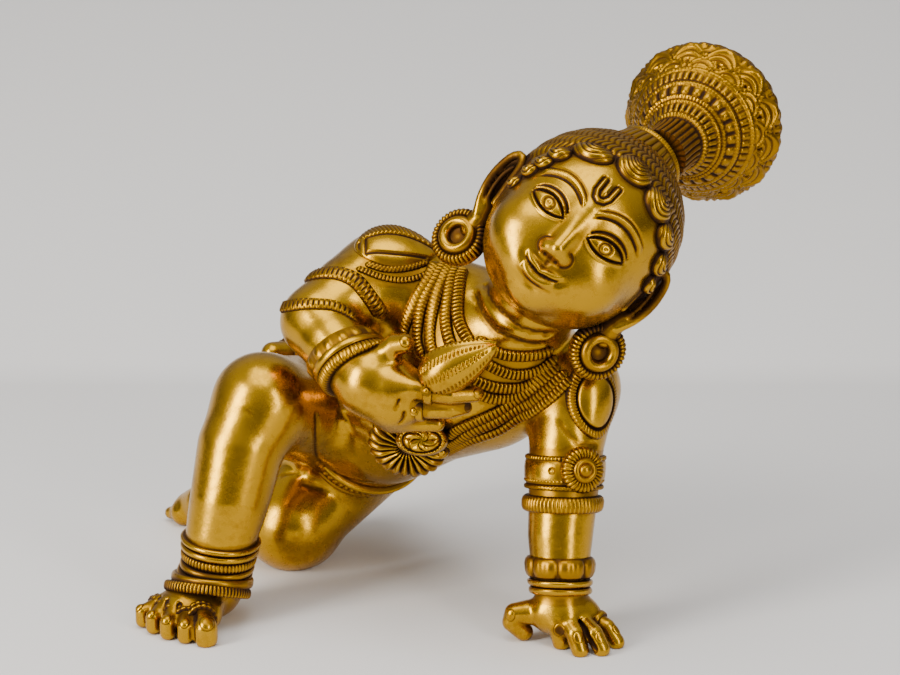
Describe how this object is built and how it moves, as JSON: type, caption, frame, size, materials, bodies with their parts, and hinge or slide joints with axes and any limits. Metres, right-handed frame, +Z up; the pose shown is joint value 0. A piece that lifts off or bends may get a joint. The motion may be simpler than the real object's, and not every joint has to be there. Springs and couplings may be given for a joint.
{
  "type": "crawling child deity figure",
  "caption": "Cast brass figure of a crawling child with a tall topknot, ornaments and a ridged bud in the raised hand, resting on foot, knee and palm.",
  "frame": {"origin": "centre of the bounding box at its bottom, on the surface that the figure stands on", "axes": "+Z up; the viewer's side is -Y; +X to the viewer's right, where the left hand is set down"},
  "size_m": [0.1784, 0.1284, 0.1541],
  "materials": {
    "brass": "antique gold polish with dark red-brown patina in the recesses"
  },
  "bodies": {
    "root": {"idol": "brass"}
  },
  "joints": []
}
